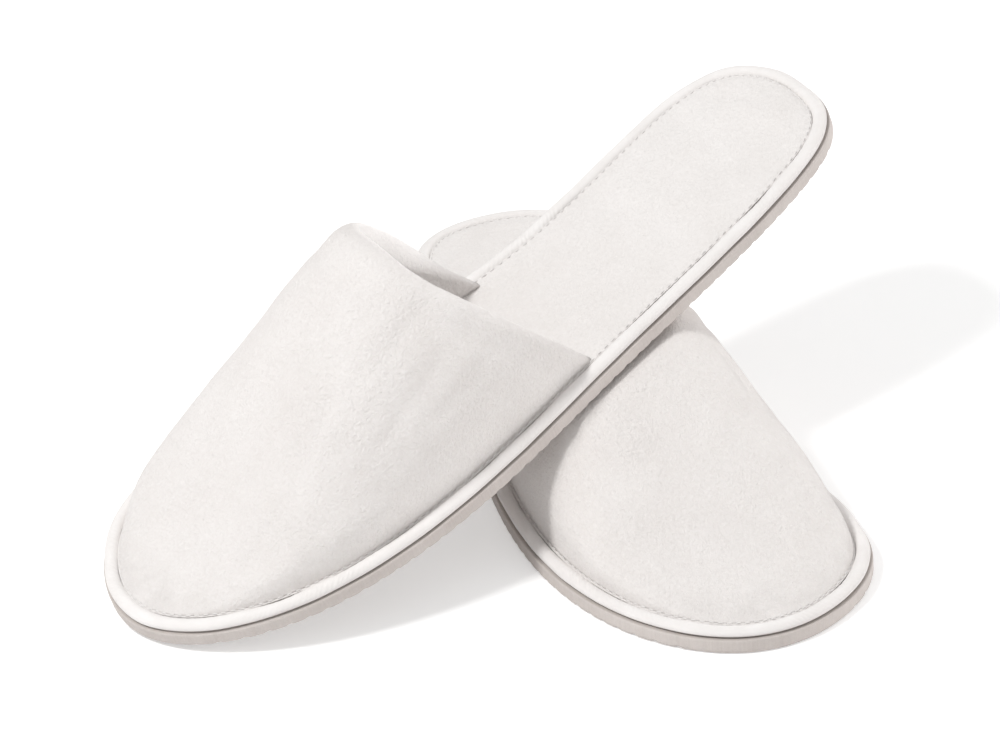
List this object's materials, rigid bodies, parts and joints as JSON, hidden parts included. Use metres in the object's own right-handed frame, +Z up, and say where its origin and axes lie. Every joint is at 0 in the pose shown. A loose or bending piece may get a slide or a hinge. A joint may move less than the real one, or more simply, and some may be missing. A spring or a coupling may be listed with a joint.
{
  "type": "spa slippers",
  "caption": "Pair of closed-toe backless velour spa slippers with thin foam soles, one lying flat and the other resting across it, toe down.",
  "frame": {"origin": "on the floor, under the middle of the right (lower) slipper's outsole", "axes": "+X from the lower slipper's heel to its toe, +Y towards the inner side of the lower slipper, +Z up"},
  "size_m": [0.2847, 0.2639, 0.1057],
  "materials": {
    "eva_outsole": "matt foam sheet",
    "fibreboard": "matt",
    "sponge": "open-cell foam",
    "insole_velour": "short pile",
    "binding_fabric": "smooth weave",
    "thread": "polyester thread",
    "vamp_velour": "velour pile",
    "lining_fabric": "smooth weave"
  },
  "bodies": {
    "right_forefoot": {"right_outsole_fore": "eva_outsole", "right_insole_board_fore": "fibreboard", "right_insole_foam_fore": "sponge", "right_insole_cover_fore": "insole_velour", "right_edge_binding_fore": "binding_fabric", "right_binding_stitch_fore": "thread", "right_vamp_outer": "vamp_velour", "right_vamp_foam": "sponge", "right_vamp_lining": "lining_fabric"},
    "right_heel": {"right_outsole_heel": "eva_outsole", "right_insole_board_heel": "fibreboard", "right_insole_foam_heel": "sponge", "right_insole_cover_heel": "insole_velour", "right_edge_binding_heel": "binding_fabric", "right_binding_stitch_heel": "thread"},
    "left_forefoot": {"left_outsole_fore": "eva_outsole", "left_insole_board_fore": "fibreboard", "left_insole_foam_fore": "sponge", "left_insole_cover_fore": "insole_velour", "left_edge_binding_fore": "binding_fabric", "left_binding_stitch_fore": "thread", "left_vamp_outer": "vamp_velour", "left_vamp_foam": "sponge", "left_vamp_lining": "lining_fabric"},
    "left_heel": {"left_outsole_heel": "eva_outsole", "left_insole_board_heel": "fibreboard", "left_insole_foam_heel": "sponge", "left_insole_cover_heel": "insole_velour", "left_edge_binding_heel": "binding_fabric", "left_binding_stitch_heel": "thread"}
  },
  "joints": [
    {"name": "right_sole_flex", "type": "hinge", "parent": "right_forefoot", "child": "right_heel", "pos_m": [-0.0305, 0, 0.0084], "axis": [0, 1, 0], "range_deg": [0, 40]},
    {"name": "left_slipper_lift", "type": "slide", "parent": "right_forefoot", "child": "left_forefoot", "axis": [0, 0, 1], "range_m": [0, 0.12]},
    {"name": "left_sole_flex", "type": "hinge", "parent": "left_forefoot", "child": "left_heel", "pos_m": [0.0018, -0.02358, 0.06207], "axis": [0.9471, 0.3182, -0.0415], "range_deg": [0, 40]}
  ]
}
